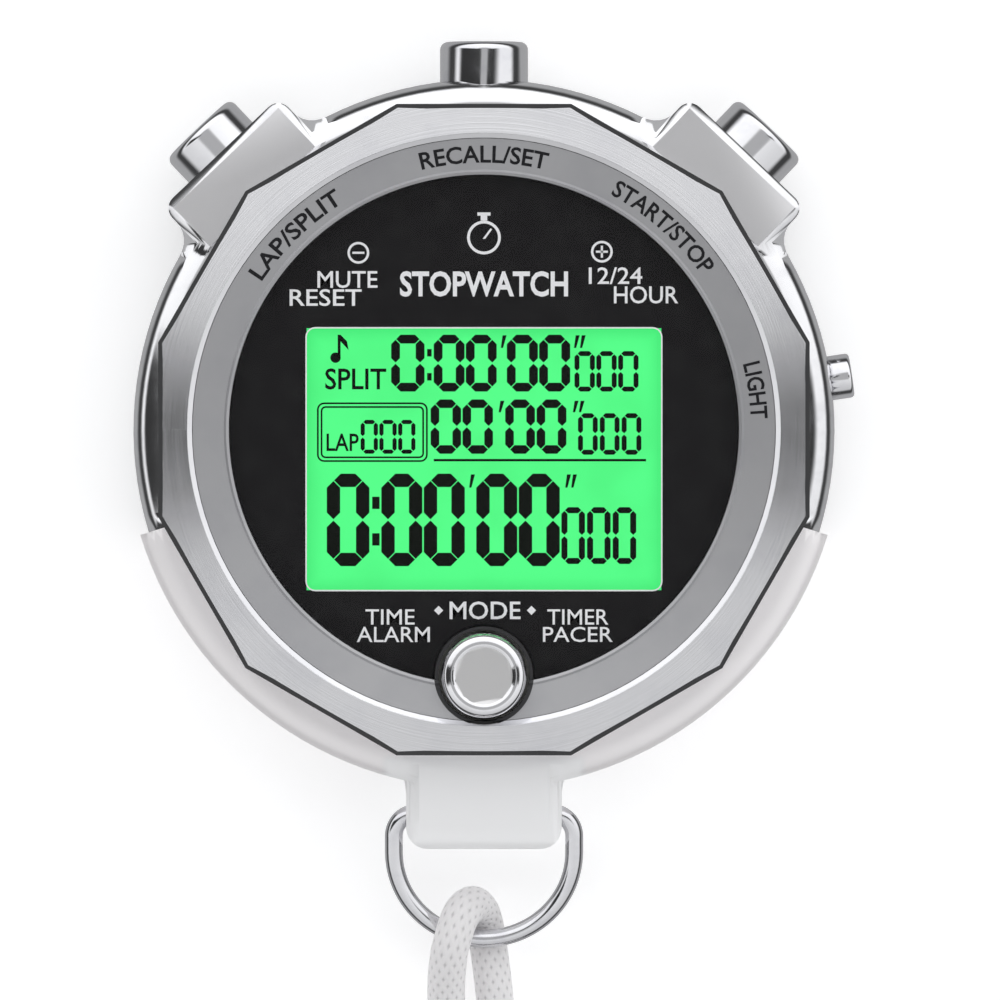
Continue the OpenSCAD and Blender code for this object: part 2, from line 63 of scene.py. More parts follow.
# A socket that takes part in sums: each operator adds its Math node
class Signal:
    def __init__(self, paint, socket):
        self.paint, self.socket = paint, socket

    def out(self, name):
        return Signal(self.paint, self.socket.node.outputs[name])

    def __add__(self, other):
        return self.paint.calc("ADD", self, other)

    def __sub__(self, other):
        return self.paint.calc("SUBTRACT", self, other)

    def __rsub__(self, other):
        return self.paint.calc("SUBTRACT", other, self)

    def __mul__(self, other):
        return self.paint.calc("MULTIPLY", self, other)

    def __truediv__(self, other):
        return self.paint.calc("DIVIDE", self, other)

    def __gt__(self, other):
        return self.paint.calc("GREATER_THAN", self, other)

    def __lt__(self, other):
        return self.paint.calc("LESS_THAN", self, other)

    __radd__ = __add__
    __rmul__ = __mul__


# A node tree that is filled by expressions
class Paint:
    def __init__(self, tree):
        self.tree = tree
        tree.nodes.clear()

    def add(self, kind, settings=None, sockets=None, result=0):
        made = self.tree.nodes.new("ShaderNode" + kind)
        for key, value in (settings or {}).items():
            setattr(made, key, value)
        for key, value in (sockets or {}).items():
            if isinstance(value, Signal):
                self.tree.links.new(value.socket, made.inputs[key])
            else:
                made.inputs[key].default_value = value
        return Signal(self, made.outputs[result]) if made.outputs else made

    def calc(self, operation, first, second=0.0):
        return self.add("Math", {"operation": operation}, {0: first, 1: second})

    # Object coordinates in millimetres, as x, y and z
    def place(self):
        spot = self.add("TexCoord").out("Object")
        scaled = self.add("VectorMath", {"operation": "SCALE"}, {0: spot, "Scale": 1 / mm})
        parts = self.add("SeparateXYZ", sockets={0: scaled})
        return parts, parts.out("Y"), parts.out("Z")

    def join(self, x, y, z=0.0):
        return self.add("CombineXYZ", sockets={0: x, 1: y, 2: z})

    # 0 below low, 1 above high, smooth between them
    def fade(self, value, low, high):
        return self.add("MapRange", {"interpolation_type": "SMOOTHSTEP"},
                        {0: value, 1: low, 2: high, 3: 0.0, 4: 1.0})

    def noise(self, spot, scale=1.0, detail=3.0, rough=0.55):
        return self.add("TexNoise", sockets={
            "Vector": spot, "Scale": scale, "Detail": detail, "Roughness": rough})

    def blend(self, first, second, share):
        return self.add("Mix", {"data_type": "RGBA"}, {0: share, 6: first, 7: second}, 2)

    def bump(self, height, depth, normal=None):
        sockets = {"Height": height, "Distance": depth, "Strength": 1.0}
        if normal:
            sockets["Normal"] = normal
        return self.add("Bump", sockets=sockets)

    def surface(self, sockets):
        shader = self.add("BsdfPrincipled", sockets=sockets)
        self.add("OutputMaterial", sockets={0: shader})


def startPaint(name):
    material = bpy.data.materials.new(name)
    material.use_nodes = True
    return material, Paint(material.node_tree)


def colour(red, green, blue):
    return (red, green, blue, 1.0)


# ---- camera, light and floor ----

view = {"lens": 600, "sensor": 36, "width": 0.092, "aim": (0.00147, -0.00644, 0.008)}
cameraData = bpy.data.cameras.new("camera")
cameraData.lens, cameraData.sensor_width = view["lens"], view["sensor"]
cameraData.clip_start, cameraData.clip_end = 0.1, 10
camera = bpy.data.objects.new("camera", cameraData)
scene.collection.objects.link(camera)
height = view["width"] * view["lens"] / view["sensor"]
camera.location = Vector(view["aim"]) + Vector((0, 0, height))
scene.camera = camera
scene.view_settings.view_transform = "Standard"

studio = {"bright": 1.05, "tilt": 0.40, "card": 0.50, "flag": 0.04, "horizon": 0.06, "below": 0.42,
          "floor": colour(0.88, 0.88, 0.885), "glow": 0.36, "floorHalf": 2.5}


# A bright dome with a dark card round the camera, a dark flag at each side and a dim horizon
def lightDome():
    world = bpy.data.worlds.new("studio")
    world.use_nodes = True
    scene.world = world
    p = Paint(world.node_tree)
    parts = p.add("SeparateXYZ", sockets={0: p.add("TexCoord").out("Generated")})
    x, y, z = parts, parts.out("Y"), parts.out("Z")
    reach = p.calc("SQRT", x * x + y * y + 0.000001)
    card = p.fade(z, 0.925, 0.968)
    short = p.fade(x, -0.05, 0.05) * 0.42  # the flag at the right is the shorter one
    flag = (1 - p.fade(p.calc("ABSOLUTE", y) / reach, 0.20, 0.33)) * p.fade(z - short, 0.30, 0.50)
    flag = flag * p.fade(reach, 0.10, 0.18)
    low = 1 - p.fade(z, 0.05, 0.30)
    under = 1 - p.fade(z, -0.45, -0.12)
    level = studio["bright"] + studio["tilt"] * y
    for mask, dark in ((low, studio["horizon"]), (under, studio["below"]), (card, studio["card"]),
                       (flag, studio["flag"])):
        level = level * (1 - mask) + mask * dark
    sky = p.add("Background", sockets={"Color": colour(0.985, 0.99, 1.0), "Strength": level})
    p.add("OutputWorld", sockets={0: sky})


def makeFloor():
    material, p = startPaint("floorPaper")
    x, y, z = p.place()
    grain = p.noise(p.join(x, y), 0.4)
    p.surface({"Base Color": p.blend(studio["floor"], colour(0.90, 0.90, 0.90), grain),
               "Roughness": 0.7, "Emission Color": colour(1, 1, 1),
               "Emission Strength": studio["glow"]})
    bm = bmesh.new()
    bmesh.ops.create_grid(bm, x_segments=1, y_segments=1, size=studio["floorHalf"])
    bmesh.ops.translate(bm, verts=bm.verts, vec=(0, 0, -0.02 * mm))
    mesh = bpy.data.meshes.new("floor")
    bm.to_mesh(mesh)
    bm.free()
    floor = bpy.data.objects.new("floor", mesh)
    scene.collection.objects.link(floor)
    mesh.materials.append(material)
    floor.visible_glossy = False  # polished metal mirrors the dark lower dome instead


lightDome()
makeFloor()
print("camera, dome and floor set")


# ---- piece helpers ----

def keepMesh(name, mesh, body, material, replaced=()):
    piece = bpy.data.objects.new(name, mesh)
    scene.collection.objects.link(piece)
    mesh.materials.clear()
    mesh.materials.append(material)
    if body:
        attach(piece, body)
    if replaced:
        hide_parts(*replaced)
    return piece


def meshFrom(bm, name, smooth=None):
    mesh = bpy.data.meshes.new(name)
    bm.normal_update()
    bm.to_mesh(mesh)
    bm.free()
    if smooth is not None:
        mesh.polygons.foreach_set("use_smooth", [True] * len(mesh.polygons))
        mesh.set_sharp_from_angle(angle=math.radians(smooth))
    return mesh


# ---- cords ----

lanyard = {"radius": 1.75 * mm, "sides": 20, "steps": 3, "ferruleFace": -67.2, "ferruleEnd": -79.5,
           "inside": 1.6}
bightRoute = [
    (-1.9, -66, 1.75), (-2.5, -62, 1.8), (-3.2, -57, 2.8), (-3.5, -52, 4.9), (-3.3, -48.8, 6.6),
    (-2.9, -46.9, 7.15), (-2.3, -45, 6.7), (-1.5, -43.9, 5.2), (-0.75, -43.9, 3.4),
    (-0.1, -45, 2.1), (0.3, -47, 1.75), (0.9, -51.5, 1.75), (1.4, -57, 1.75),
    (1.8, -62, 1.75), (1.9, -66, 1.75)]
leadIn = [(-1.9, -79.5, 1.75), (-2.2, -83, 1.75), (-4.6, -87, 1.75), (-9, -91, 1.75),
          (-13, -94.8, 1.75), (-17, -99, 1.75)]
leadOut = [(1.9, -79.5, 1.75), (2.2, -83, 1.75), (4.6, -87, 2.1), (9, -91, 3.4),
           (13, -94.8, 4.6), (17, -99, 5)]
coil = {"centre": -116, "outer": 24.04, "inner": 13.5, "low": 1.75, "high": 5.0,
        "turns": 3, "climb": 0.75, "enter": 135, "perTurn": 24}


def smoothRoute(points, steps):
    points = [Vector(q) for q in points]
    route = []
    for i in range(len(points) - 1):
        a, b = points[max(i - 1, 0)], points[i]
        c, d = points[i + 1], points[min(i + 2, len(points) - 1)]
        for s in range(steps):
            t = s / steps
            route.append(0.5 * (2 * b + (c - a) * t + (2 * a - 5 * b + 4 * c - d) * t * t
                                + (3 * b - a - 3 * c + d) * t * t * t))
    return route + [points[-1]]


def coilRoute():
    total = 2 * coil["turns"] + coil["climb"]
    route = []
    count = round(total * coil["perTurn"])
    for i in range(1, count):
        turn = i / coil["perTurn"]
        climb = min(max((turn - coil["turns"]) / coil["climb"], 0), 1)
        lift = climb * climb * (3 - 2 * climb)
        if turn <= coil["turns"]:
            share = turn / coil["turns"]
        elif turn <= coil["turns"] + coil["climb"]:
            share = 1
        else:
            share = (total - turn) / coil["turns"]
        r = coil["outer"] + (coil["inner"] - coil["outer"]) * share
        a = math.radians(coil["enter"] + 360 * turn)
        route.append(Vector((r * math.cos(a), coil["centre"] + r * math.sin(a),
                             coil["low"] + (coil["high"] - coil["low"]) * lift)))
    return route


# A round tube along a route, with a UV map: U round the cord, V along it in turns of its girth
def cordMesh(name, route, radius):
    sides = lanyard["sides"]
    turn = 2 * math.pi / sides
    bm = bmesh.new()
    uv = bm.loops.layers.uv.new("UVMap")
    rings, lengths = [], []
    run, across = 0.0, None
    for i, spot in enumerate(route):
        ahead = (route[min(i + 1, len(route) - 1)] - route[max(i - 1, 0)]).normalized()
        if across is None:
            across = Vector((0, 0, 1)).cross(ahead).normalized()
        across = (across - ahead * across.dot(ahead)).normalized()
        upward = ahead.cross(across)
        if i:
            run += (spot - route[i - 1]).length
        lengths.append(run / (2 * math.pi * radius))
        rings.append([bm.verts.new(spot + radius * (
            across * math.cos(turn * k) + upward * math.sin(turn * k)))
            for k in range(sides)])
    for i in range(len(rings) - 1):
        for k in range(sides):
            n = (k + 1) % sides
            face = bm.faces.new((rings[i][k], rings[i][n], rings[i + 1][n], rings[i + 1][k]))
            face.smooth = True
            corners = ((k, i), (k + 1, i), (k + 1, i + 1), (k, i + 1))
            for loop, (u, v) in zip(face.loops, corners):
                loop[uv].uv = (u / sides, lengths[v])
    bm.faces.new(list(reversed(rings[0])))
    bm.faces.new(rings[-1])
    return meshFrom(bm, name)


def braidMaterial():
    values = {"strands": 12, "slant": 8, "light": colour(0.91, 0.895, 0.90),
              "shade": colour(0.64, 0.625, 0.635), "depth": 0.10 * mm, "fibre": 0.05 * mm}
    material, p = startPaint("cordBraid")
    parts = p.add("SeparateXYZ", sockets={0: p.add("UVMap", {"uv_map": "UVMap"})})
    around, along = parts, parts.out("Y")
    full = 2 * math.pi
    left = around * (full * values["strands"]) + along * (full * values["slant"])
    right = around * (full * values["strands"]) - along * (full * values["slant"])
    waveLeft = p.calc("ABSOLUTE", p.calc("SINE", left * 0.5))
    waveRight = p.calc("ABSOLUTE", p.calc("SINE", right * 0.5))
    lengthwise = p.calc("SINE", left * 0.5 + right * 0.5)
    crosswise = p.calc("SINE", left * 0.5 - right * 0.5)
    over = p.fade(lengthwise * crosswise, -0.25, 0.25)
    height = waveLeft * over + waveRight * (1 - over)
    fine = p.noise(p.join(around * 60 + along * 30, along * 90 - around * 40), 1.0, 3.0)
    soil = p.noise(p.join(along * 0.7, around), 1.0, 2.0)
    # Painted shade: the hollows between the strands take the darker shade colour, and the raised
    # strands the light one
    shade = p.fade(height, 0.10, 0.75) * 0.85 + fine * 0.15
    tone = p.blend(values["shade"], values["light"], shade)
    tone = p.blend(tone, colour(0.86, 0.84, 0.83), p.fade(soil, 0.5, 0.9) * 0.35)
    bump = p.bump(fine, values["fibre"], p.bump(height, values["depth"]))
    p.surface({"Base Color": tone, "Roughness": p.fade(fine, 0.0, 1.0) * 0.15 + 0.68,
               "Normal": bump, "Sheen Weight": 0.25, "Sheen Roughness": 0.5,
               "Specular IOR Level": 0.35})
    return material


braid = braidMaterial()


def cordPiece(name, route, body, replaced):
    route = [q * mm for q in route]
    mesh = cordMesh(name, route, lanyard["radius"])
    piece = keepMesh(name, mesh, body, braid, replaced)
    length = sum((b - a).length for a, b in zip(route, route[1:]))
    return piece


bightStart = [(-1.9, lanyard["ferruleFace"] - lanyard["inside"], 1.75)]
bightEnd = [(1.9, lanyard["ferruleFace"] - lanyard["inside"], 1.75)]
bight = cordPiece("lanyardBight", smoothRoute(bightStart + bightRoute + bightEnd, lanyard["steps"]),
                  None, ["lanyard_bight"])
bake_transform(bight)

neckStart = [(-1.9, lanyard["ferruleEnd"] + lanyard["inside"], 1.75)]
neckEnd = [(1.9, lanyard["ferruleEnd"] + lanyard["inside"], 1.75)]
neckRoute = (smoothRoute(neckStart + leadIn, lanyard["steps"]) + coilRoute()
             + smoothRoute(leadOut[::-1] + neckEnd, lanyard["steps"]))
cordPiece("neckCord", neckRoute, "case",
          ["lanyard_leads", "lanyard_coil"])
print("cords made")


# ---- metal finishes ----

# Fine scratches and finger smears that break up a polished face
def polishedParts(p, x, y, z):
    smear = p.noise(p.join(x * 0.22, y * 0.30, z * 0.3), 1.0, 4.0, 0.6)
    scratch = p.noise(p.join(x * 3.1 + y * 0.7, y * 0.35 - x * 0.1, z * 3.0), 1.0, 5.0, 0.65)
    return smear, scratch


def chromeMaterial(name, base, rough):
    material, p = startPaint(name)
    x, y, z = p.place()
    smear, scratch = polishedParts(p, x, y, z)
    dull = colour(base[0] * 0.90, base[1] * 0.90, base[2] * 0.92)
    tone = p.blend(base, dull, p.fade(smear, 0.45, 0.75))
    p.surface({"Base Color": tone, "Metallic": 1.0,
               "Roughness": p.fade(smear, 0.35, 0.8) * 0.07 + scratch * 0.03 + rough,
               "Normal": p.bump(scratch, 0.0012 * mm)})
    return material


# Satin steel with grooves turned round the dial axis; edge is where the bezel's polished flats
# begin, and shadedRecess is the recess round the face button, painted black as painted shade
def turnedMaterial(name, base, rough, depth, pitch, edge=None, shadedRecess=None):
    material, p = startPaint(name)
    x, y, z = p.place()
    r = p.calc("SQRT", x * x + y * y)
    turn = p.calc("ARCTAN2", y, x)
    groove = p.noise(p.join(r * pitch, turn * 1.5, z * 2), 1.0, 4.0, 0.7)
    cloud = p.noise(p.join(x * 0.15, y * 0.15), 1.0, 3.0)
    dull = colour(base[0] * 0.93, base[1] * 0.93, base[2] * 0.94)
    tone = p.blend(base, dull, p.fade(cloud, 0.4, 0.7))
    gloss = groove * 0.08 + p.fade(cloud, 0.3, 0.8) * 0.04 + rough
    if edge:
        sector = math.radians(30)
        fold = p.calc("FLOORED_MODULO", turn + sector / 2, sector) - sector / 2
        bright = p.calc("MAXIMUM", r * p.calc("COSINE", fold) > edge["outer"], r < edge["inner"])
        gloss = gloss * (1 - bright) + bright * 0.05
        groove = groove * (1 - bright)
    metal = 1.0
    if shadedRecess:
        off = y + shadedRecess["down"]
        # Painted shade: the recess round the face button is painted black
        black = x * x + off * off < shadedRecess["radius"] * shadedRecess["radius"]
        tone = p.blend(tone, colour(0.02, 0.02, 0.022), black)
        metal = 1 - black
    p.surface({"Base Color": tone, "Metallic": metal, "Roughness": gloss,
               "Normal": p.bump(groove, depth * mm)})
    return material


# The case: polished rim, satin shoulders, blasted flank and lug
def caseMaterial():
    material, p = startPaint("caseSteel")
    x, y, z = p.place()
    r = p.calc("SQRT", x * x + y * y)
    smear, scratch = polishedParts(p, x, y, z)
    blast = p.noise(p.join(x * 9, y * 9, z * 9), 1.0, 3.0, 0.6)
    wideX = p.calc("ABSOLUTE", x)
    lug = p.fade(y * -1, 29.6, 30.6) * (1 - p.fade(wideX, 8.6, 9.6))
    turn = math.radians(43.5)
    flank = (y + wideX * math.tan(math.radians(17)) < 0.0) * (r > 28.5) * (1 - lug)
    acrossBlock = p.calc("ABSOLUTE", wideX * math.cos(turn) - y * math.sin(turn))
    shoulder = p.fade(z, 12.70, 12.78) * (y > 5.0) * (acrossBlock < 7.0)
    blasted = p.calc("MAXIMUM", flank, lug)
    tone = p.blend(colour(0.83, 0.83, 0.845), colour(0.74, 0.74, 0.76), p.fade(smear, 0.45, 0.75))
    tone = p.blend(tone, colour(0.78, 0.775, 0.785), shoulder)
    tone = p.blend(tone, colour(0.99, 0.965, 0.97), flank)
    tone = p.blend(tone, colour(0.98, 0.98, 0.985), lug)
    polish = p.fade(smear, 0.35, 0.8) * 0.06 + scratch * 0.03 + 0.07
    rough = polish * (1 - shoulder) + shoulder * (blast * 0.06 + 0.30)
    rough = rough * (1 - blasted) + blasted * (blast * 0.10 + 0.42)
    metal = 1 - lug * 0.85 - flank * 0.55
    grain = scratch * (1 - blasted) * 0.25 + blast * blasted + blast * shoulder * 0.5
    p.surface({"Base Color": tone, "Metallic": metal, "Roughness": rough,
               "Normal": p.bump(grain, 0.006 * mm)})
    return material


# A merged copy of a CAD piece, so that its curves are shaded smooth
def refine(name, node, body, material, sharp=22):
    mesh = nodes[node].data.copy()
    bm = bmesh.new()
    bm.from_mesh(mesh)
    bmesh.ops.remove_doubles(bm, verts=bm.verts, dist=0.002 * mm)
    mesh = meshFrom(bm, name, sharp)
    piece = keepMesh(name, mesh, body, material, [node])
    flats = piece.modifiers.new("flats", "WEIGHTED_NORMAL")
    flats.mode, flats.weight, flats.keep_sharp = "FACE_AREA", 90, True
    return piece


# A CAD piece whose own curves are exact keeps its mesh and gets a finish
def repaint(node, material):
    for place in nodes[node].material_slots:
        place.material = material
    painted.add(node)


painted = set()


# The face button: polished rim, satin disc
def modeMaterial():
    material, p = startPaint("modeChrome")
    x, y, z = p.place()
    smear, scratch = polishedParts(p, x, y, z)
    fine = p.noise(p.join(x * 8, y * 8, z * 8), 1.0, 3.0)
    off = y + 22.5
    disc = (x * x + off * off < 2.62 * 2.62) * (z > 18.6)
    rough = (smear * 0.05 + scratch * 0.03 + 0.05) * (1 - disc) + (fine * 0.08 + 0.34) * disc
    tone = p.blend(colour(0.82, 0.82, 0.84), colour(0.74, 0.74, 0.755), p.fade(smear, 0.45, 0.75))
    tone = p.blend(tone, colour(0.72, 0.715, 0.715), disc)
    p.surface({"Base Color": tone, "Metallic": 1.0, "Roughness": rough,
               "Normal": p.bump(fine * disc + scratch * 0.3, 0.003 * mm)})
    return material


springMetal = chromeMaterial("springMetal", colour(0.60, 0.60, 0.62), 0.22)
buttonChrome = chromeMaterial("buttonChrome", colour(0.80, 0.80, 0.82), 0.06)
ringChrome = chromeMaterial("ringChrome", colour(0.76, 0.76, 0.78), 0.08)
refine("caseShell", "case_body", "case", caseMaterial())
repaint("bezel", turnedMaterial("bezelSteel", colour(0.88, 0.88, 0.90), 0.13, 0.005, 7,
                                {"outer": 29.37, "inner": 27.1}))
repaint("label_ring", turnedMaterial("ringGrey", colour(0.44, 0.44, 0.45), 0.38, 0.004, 9,
                                     shadedRecess={"down": 22.5, "radius": 4.56}))
for side in ("recall", "lap", "start", "light"):
    refine(side + "Cap", side + "_button", side + "_button", buttonChrome)
refine("modeCap", "mode_button", "mode_button", modeMaterial())
repaint("d_ring", ringChrome)
repaint("back_cover", turnedMaterial("backSteel", colour(0.72, 0.72, 0.735), 0.24, 0.008, 5))

# Each pushed button's spring gets a smooth-shaded copy with a mesh of its own, on the case
for joint in frame["joints"]:
    if joint["name"].endswith("_push"):
        button = joint["name"].replace("_push", "")
        spring = refine(button + "Spring", button + "_spring", "case", springMetal,
                        50)
        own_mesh(spring)
print("metal pieces made")


# ---- display and dial ----

lensHole = {"down": 22.5, "radius": 4.7}


# Clear glass shown by its front face alone: the gloss grows towards grazing angles
def lensMaterial():
    material, p = startPaint("lensGlass")
    x, y, z = p.place()
    smear, scratch = polishedParts(p, x, y, z)
    tilt = p.add("LayerWeight", sockets={"Blend": 0.5}).out("Facing")
    down = y + lensHole["down"]
    solid = (x * x + down * down > lensHole["radius"] * lensHole["radius"]) * p.fade(z, 15.9, 16.1)
    gloss = (p.calc("POWER", tilt, 5.0) * 0.96 + 0.010) * solid
    p.surface({"Base Color": colour(1, 1, 1), "Metallic": 1.0, "Roughness": smear * 0.03 + 0.02,
               "Alpha": gloss, "Normal": p.bump(scratch, 0.0004 * mm)})
    return material


def dialMaterial():
    material, p = startPaint("dialBlack")
    x, y, z = p.place()
    cloud = p.noise(p.join(x * 0.4, y * 0.4), 1.0, 3.0)
    speck = p.noise(p.join(x * 14, y * 14), 1.0, 2.0)
    tone = p.blend(colour(0.0075, 0.0070, 0.0080), colour(0.012, 0.0118, 0.0125),
                   p.fade(cloud, 0.35, 0.75))
    p.surface({"Base Color": tone, "Roughness": speck * 0.12 + 0.28,
               "Normal": p.bump(speck, 0.0002 * mm), "Specular IOR Level": 0.10})
    return material


# Painted glow: the display's green is given as emission, though the panel is no lamp; the glow is
# left out where the mask covers the panel
def paintedGlowMaterial():
    material, p = startPaint("displayGreen")
    x, y, z = p.place()
    # Painted shade: the glow is darker towards the window's edges, as the shadow of the recess
    windowShadeX = p.fade(p.calc("ABSOLUTE", x), 14.6, 16.4)
    windowShadeY = p.fade(p.calc("ABSOLUTE", y + 2.7), 10.4, 12.1)
    edge = p.calc("MAXIMUM", windowShadeX, windowShadeY)
    cloud = p.noise(p.join(x * 0.12, y * 0.12), 1.0, 2.0)
    grain = p.noise(p.join(x * 12, y * 12), 1.0, 2.0)
    tone = p.blend(colour(0.066, 0.93, 0.215), colour(0.058, 0.86, 0.19), p.fade(cloud, 0.4, 0.7))
    tone = p.blend(tone, colour(0.045, 0.74, 0.16), edge * 0.55)
    hidden = p.calc("MAXIMUM", p.calc("ABSOLUTE", x) > 16.7, p.calc("ABSOLUTE", y + 2.7) > 12.5)
    tone = p.blend(tone, colour(0, 0, 0), hidden)  # dark where the mask covers it
    p.surface({"Base Color": p.blend(colour(0.03, 0.10, 0.05), colour(0.035, 0.12, 0.06), grain),
               "Roughness": grain * 0.1 + 0.35, "Emission Color": tone, "Emission Strength": 0.98,
               "Specular IOR Level": 0.10})
    return material


# Paint or ink that is nearly even, with the edge of its own grain
def inkMaterial(name, base, other, rough, gloss):
    material, p = startPaint(name)
    x, y, z = p.place()
    grain = p.noise(p.join(x * 7, y * 7, z * 7), 1.0, 3.0)
    p.surface({"Base Color": p.blend(base, other, p.fade(grain, 0.3, 0.7)),
               "Roughness": grain * 0.15 + rough,
               "Normal": p.bump(grain, 0.0015 * mm), "Specular IOR Level": gloss})
    return material


segmentInk = inkMaterial("segmentInk", colour(0.0028, 0.0040, 0.0028),
                         colour(0.0045, 0.0065, 0.0045), 0.4, 0.04)
whiteInk = inkMaterial("dialInk", colour(0.90, 0.90, 0.91), colour(0.82, 0.82, 0.84), 0.45, 0.2)
darkInk = inkMaterial("labelInk", colour(0.008, 0.008, 0.010),
                      colour(0.018, 0.018, 0.020), 0.4, 0.15)

display = {"middle": -2.7, "face": 14.2, "ink": 0.03, "gap": 0.12}
dialFace = 15.0


def onDisplay(x, y):
    return Vector((x, y + display["middle"], display["face"]))


# Flat faces pulled up into a thin solid
def thicken(bm, faces, height):
    made = bmesh.ops.extrude_face_region(bm, geom=faces)
    top = [part for part in made["geom"] if isinstance(part, bmesh.types.BMVert)]
    bmesh.ops.translate(bm, verts=top, vec=(0, 0, height))


# A thin solid whose outline is a few corners, in millimetres
def plate(bm, corners, foot, height):
    base = bm.faces.new([bm.verts.new((x, y, foot)) for x, y in corners])
    if base.normal.z > 0 or signedArea(corners) > 0:
        bmesh.ops.reverse_faces(bm, faces=[base])
    thicken(bm, [base], height)


def bar(bm, left, low, right, high, foot, height):
    plate(bm, [(left, low), (right, low), (right, high), (left, high)], foot, height)


def signedArea(corners):
    return sum(a[0] * b[1] - b[0] * a[1] for a, b in zip(corners, corners[1:] + corners[:1]))


# A bar with pointed ends, from one point to another
def pointedBar(bm, start, end, thick, foot, height):
    a, b = Vector(start), Vector(end)
    ahead = (b - a).normalized()
    across = Vector((-ahead.y, ahead.x)) * thick / 2
    a, b = a + ahead * display["gap"] / 2, b - ahead * display["gap"] / 2
    inner = ahead * thick / 2
    corners = [a, a + inner - across, b - inner - across, b, b - inner + across, a + inner + across]
    plate(bm, [(q.x, q.y) for q in corners], foot, height)


def zeroDigit(bm, x, y, wide, high, thick):
    left, right = x + thick / 2, x + wide - thick / 2
    low, top, half = y + thick / 2, y + high - thick / 2, y + high / 2
    for start, end in (((left, low), (right, low)), ((left, top), (right, top)),
                       ((left, low), (left, half)), ((left, half), (left, top)),
                       ((right, low), (right, half)), ((right, half), (right, top))):
        pointedBar(bm, start, end, thick, display["face"], display["ink"])


# Rows of zeros: first x, foot, width, height, pitch, count, stroke
digitRows = [
    (-8.5, 6.2, 3.05, 5.2, 0, 1, 0.80), (-4.6, 6.2, 2.82, 5.2, 2.94, 2, 0.80),
    (2.1, 6.2, 2.84, 5.2, 2.96, 2, 0.80), (8.3, 6.2, 1.86, 3.7, 2.0, 3, 0.45),
    (-4.88, 0.5, 2.78, 4.97, 2.92, 2, 0.78), (1.95, 0.5, 2.72, 4.97, 2.88, 2, 0.78),
    (8.62, 0.41, 1.80, 3.8, 2.0, 3, 0.45), (-11.3, 0.5, 1.58, 3.1, 1.72, 3, 0.38),
    (-14.4, -9.8, 3.9, 8.47, 0, 1, 1.22), (-9.4, -9.8, 3.75, 8.47, 3.89, 2, 1.22),
    (-0.7, -9.8, 3.75, 8.47, 3.89, 2, 1.22), (7.1, -9.6, 2.15, 5.2, 2.35, 3, 0.55)]
colonDots = [(-5.0, 7.55, 0.34), (-5.0, 9.75, 0.34), (-9.9, -7.35, 0.56), (-9.9, -4.0, 0.56)]
primeTicks = [(1.55, 10.2, 1.15, 1), (8.25, 10.2, 1.15, 2), (1.35, 4.3, 1.05, 1),
              (8.15, 4.3, 1.05, 2), (-1.35, -2.6, 1.2, 1), (7.45, -2.6, 1.2, 2)]
lapBox = {"low": (-15.3, -0.25), "high": (-5.15, 5.2), "round": 0.65, "line": 0.16, "space": 0.34}
underline = {"low": (-4.6, -0.2), "high": (14.85, 0.02)}
displayWords = [("SPLIT", -11.75, 7.35, 5.6, 1.95), ("LAP", -12.95, 1.55, 2.95, 1.6)]
musicNote = {"head": (-13.6, 9.3), "radius": 0.48,
             "stem": [(0.2, 0), (0.46, 0), (0.46, 2.1), (0.2, 2.1)],
             "tail": [(0.46, 2.1), (0.46, 1.5), (1.2, 0.7), (1.05, 1.5)]}


def roundedOutline(low, high, radius, steps=5):
    corners = []
    left, right = low[0] + radius, high[0] - radius
    bottom, top = low[1] + radius, high[1] - radius
    for cx, cy, start in ((right, top, 0), (left, top, 90), (left, bottom, 180),
                          (right, bottom, 270)):
        for i in range(steps + 1):
            a = math.radians(start + 90 * i / steps)
            corners.append((cx + radius * math.cos(a), cy + radius * math.sin(a)))
    return corners


# A closed thin band between two outlines with as many corners
def band(bm, outlines, foot, height):
    outer, inner = [[bm.verts.new((x, y, foot)) for x, y in outline] for outline in outlines]
    count = len(outer)
    thicken(bm, [bm.faces.new((outer[i], inner[i], inner[(i + 1) % count], outer[(i + 1) % count]))
                 for i in range(count)], height)


# A frame line with rounded corners
def frameLine(bm, low, high, radius, line, foot, height):
    band(bm, [roundedOutline((low[0] + inset, low[1] + inset), (high[0] - inset, high[1] - inset),
                             max(radius - inset, 0.05)) for inset in (0, line)], foot, height)


# Text as a thin solid in millimetres, centred, with the wanted width and capital height
def addWords(bm, words, centre, wide, high, foot, height, heavy=0.0, place=None):
    data = bpy.data.curves.new("words", "FONT")
    data.body = words
    data.resolution_u = 3
    data.extrude = 0.01
    data.offset = heavy
    data.align_x, data.align_y = "CENTER", "CENTER"
    writer = bpy.data.objects.new("words", data)
    scene.collection.objects.link(writer)
    bpy.context.view_layer.update()
    mesh = bpy.data.meshes.new_from_object(writer)
    bpy.data.objects.remove(writer)
    bpy.data.curves.remove(data)
    spots = [v.co.copy() for v in mesh.vertices]
    low = [min(q[i] for q in spots) for i in range(3)]
    high3 = [max(q[i] for q in spots) for i in range(3)]
    for v in mesh.vertices:
        x = (v.co.x - (low[0] + high3[0]) / 2) * wide / (high3[0] - low[0])
        y = (v.co.y - (low[1] + high3[1]) / 2) * high / (high3[1] - low[1])
        z = height if v.co.z > 0 else 0.0
        v.co = place(x, y, z) if place else (x + centre[0], y + centre[1], foot + z)
    start = len(bm.verts)
    bm.from_mesh(mesh)
    bm.verts.ensure_lookup_table()
    bmesh.ops.remove_doubles(bm, verts=bm.verts[start:], dist=0.001)
    bpy.data.meshes.remove(mesh)


def disc(bm, x, y, radius, foot, height, sides=24):
    made = bmesh.ops.create_cone(bm, cap_ends=True, segments=sides, radius1=radius, radius2=radius,
                                 depth=height)
    bmesh.ops.translate(bm, verts=made["verts"], vec=(x, y, foot + height / 2))


